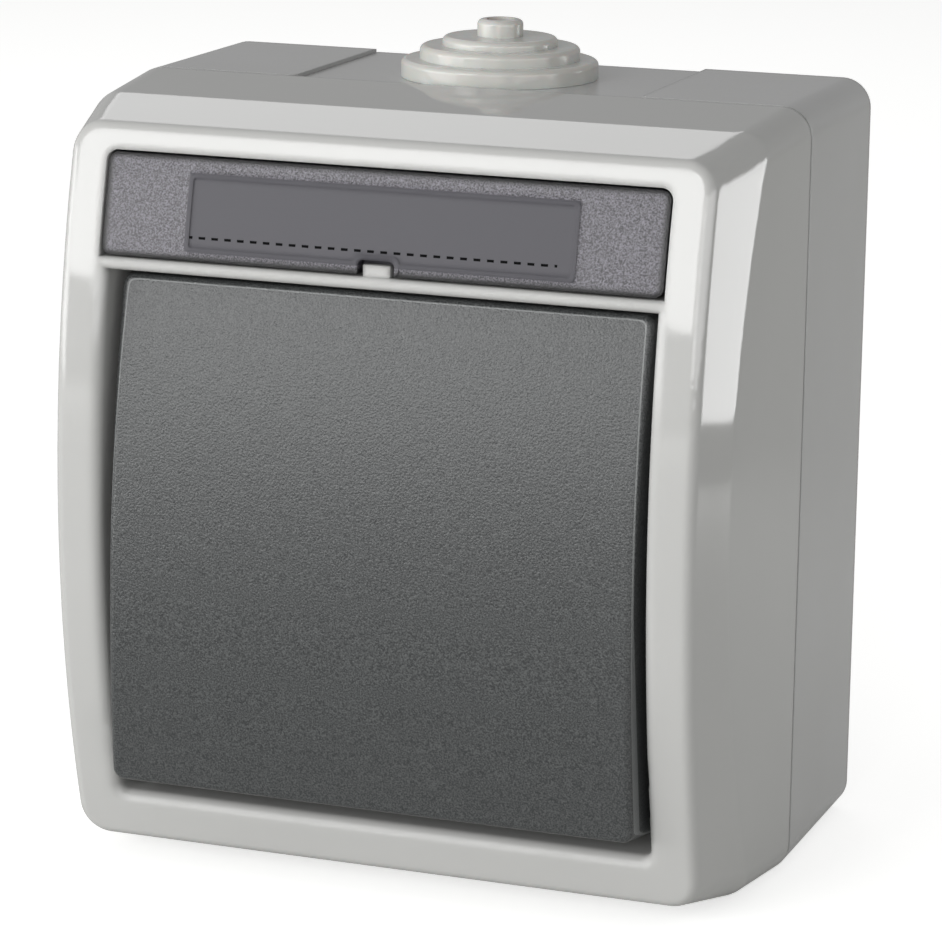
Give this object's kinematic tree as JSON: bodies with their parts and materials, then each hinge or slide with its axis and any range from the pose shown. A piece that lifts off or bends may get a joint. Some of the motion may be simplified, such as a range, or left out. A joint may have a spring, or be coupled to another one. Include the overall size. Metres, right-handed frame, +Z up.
{
  "type": "outdoor weatherproof switch",
  "caption": "Surface-mounted weatherproof rocker switch: wall box, barrel-fronted cover with a label window over a wide rocker, and a stepped cable grommet on top.",
  "frame": {"origin": "middle of the rear face, on the wall", "axes": "-Y out of the wall towards the viewer, +Z up, +X to the viewer's right"},
  "size_m": [0.072, 0.0492, 0.0836],
  "materials": {
    "box_plastic": "satin",
    "cover_plastic": "gloss",
    "grommet_rubber": "satin",
    "seal_rubber": "matte",
    "smoked_window": "gloss",
    "label_card": "matte",
    "holder_plastic": "matte",
    "rocker_plastic": "grained matte",
    "insert_plastic": "satin",
    "plunger_plastic": "satin",
    "plate_plastic": "matte",
    "brass": "satin",
    "contact_metal": "polished",
    "steel": "zinc plated"
  },
  "bodies": {
    "housing": {"back_box": "box_plastic", "entry_panel": "box_plastic", "cable_grommet": "grommet_rubber", "cover_gasket": "seal_rubber", "front_cover": "cover_plastic", "label_window": "smoked_window", "label_card": "label_card", "label_holder": "holder_plastic", "rocker_seal": "seal_rubber", "switch_base": "insert_plastic", "mechanism_cover": "plate_plastic", "fixed_contacts": "contact_metal", "upper_terminal": "brass", "lower_terminal": "brass", "common_terminal": "brass", "terminal_clamps": "brass", "terminal_screws": "steel", "insert_screws": "steel", "cover_screws": "steel", "wall_hole_plugs": "box_plastic"},
    "rocker": {"rocker": "rocker_plastic", "rocker_carrier": "insert_plastic", "plunger_spring": "steel"},
    "plunger": {"plunger": "plunger_plastic"},
    "blade": {"contact_blade": "brass", "blade_contacts": "contact_metal"}
  },
  "joints": [
    {"name": "rocker_hinge", "type": "hinge", "parent": "housing", "child": "rocker", "pos_m": [0, -0.03281, -0.0046], "axis": [1, 0, 0], "range_deg": [0, 8]},
    {"name": "plunger_slide", "type": "slide", "parent": "rocker", "child": "plunger", "axis": [0, -0.9976, 0.0698], "range_m": [0, 0.0005], "stiffness_N_per_m": 300},
    {"name": "blade_rock", "type": "hinge", "parent": "housing", "child": "blade", "pos_m": [0, -0.01965, -0.0046], "axis": [1, 0, 0], "range_deg": [-14, 0]}
  ],
  "couplings": [
    {"joint": "blade_rock", "follows": "rocker_hinge", "ratio": -1.75}
  ]
}
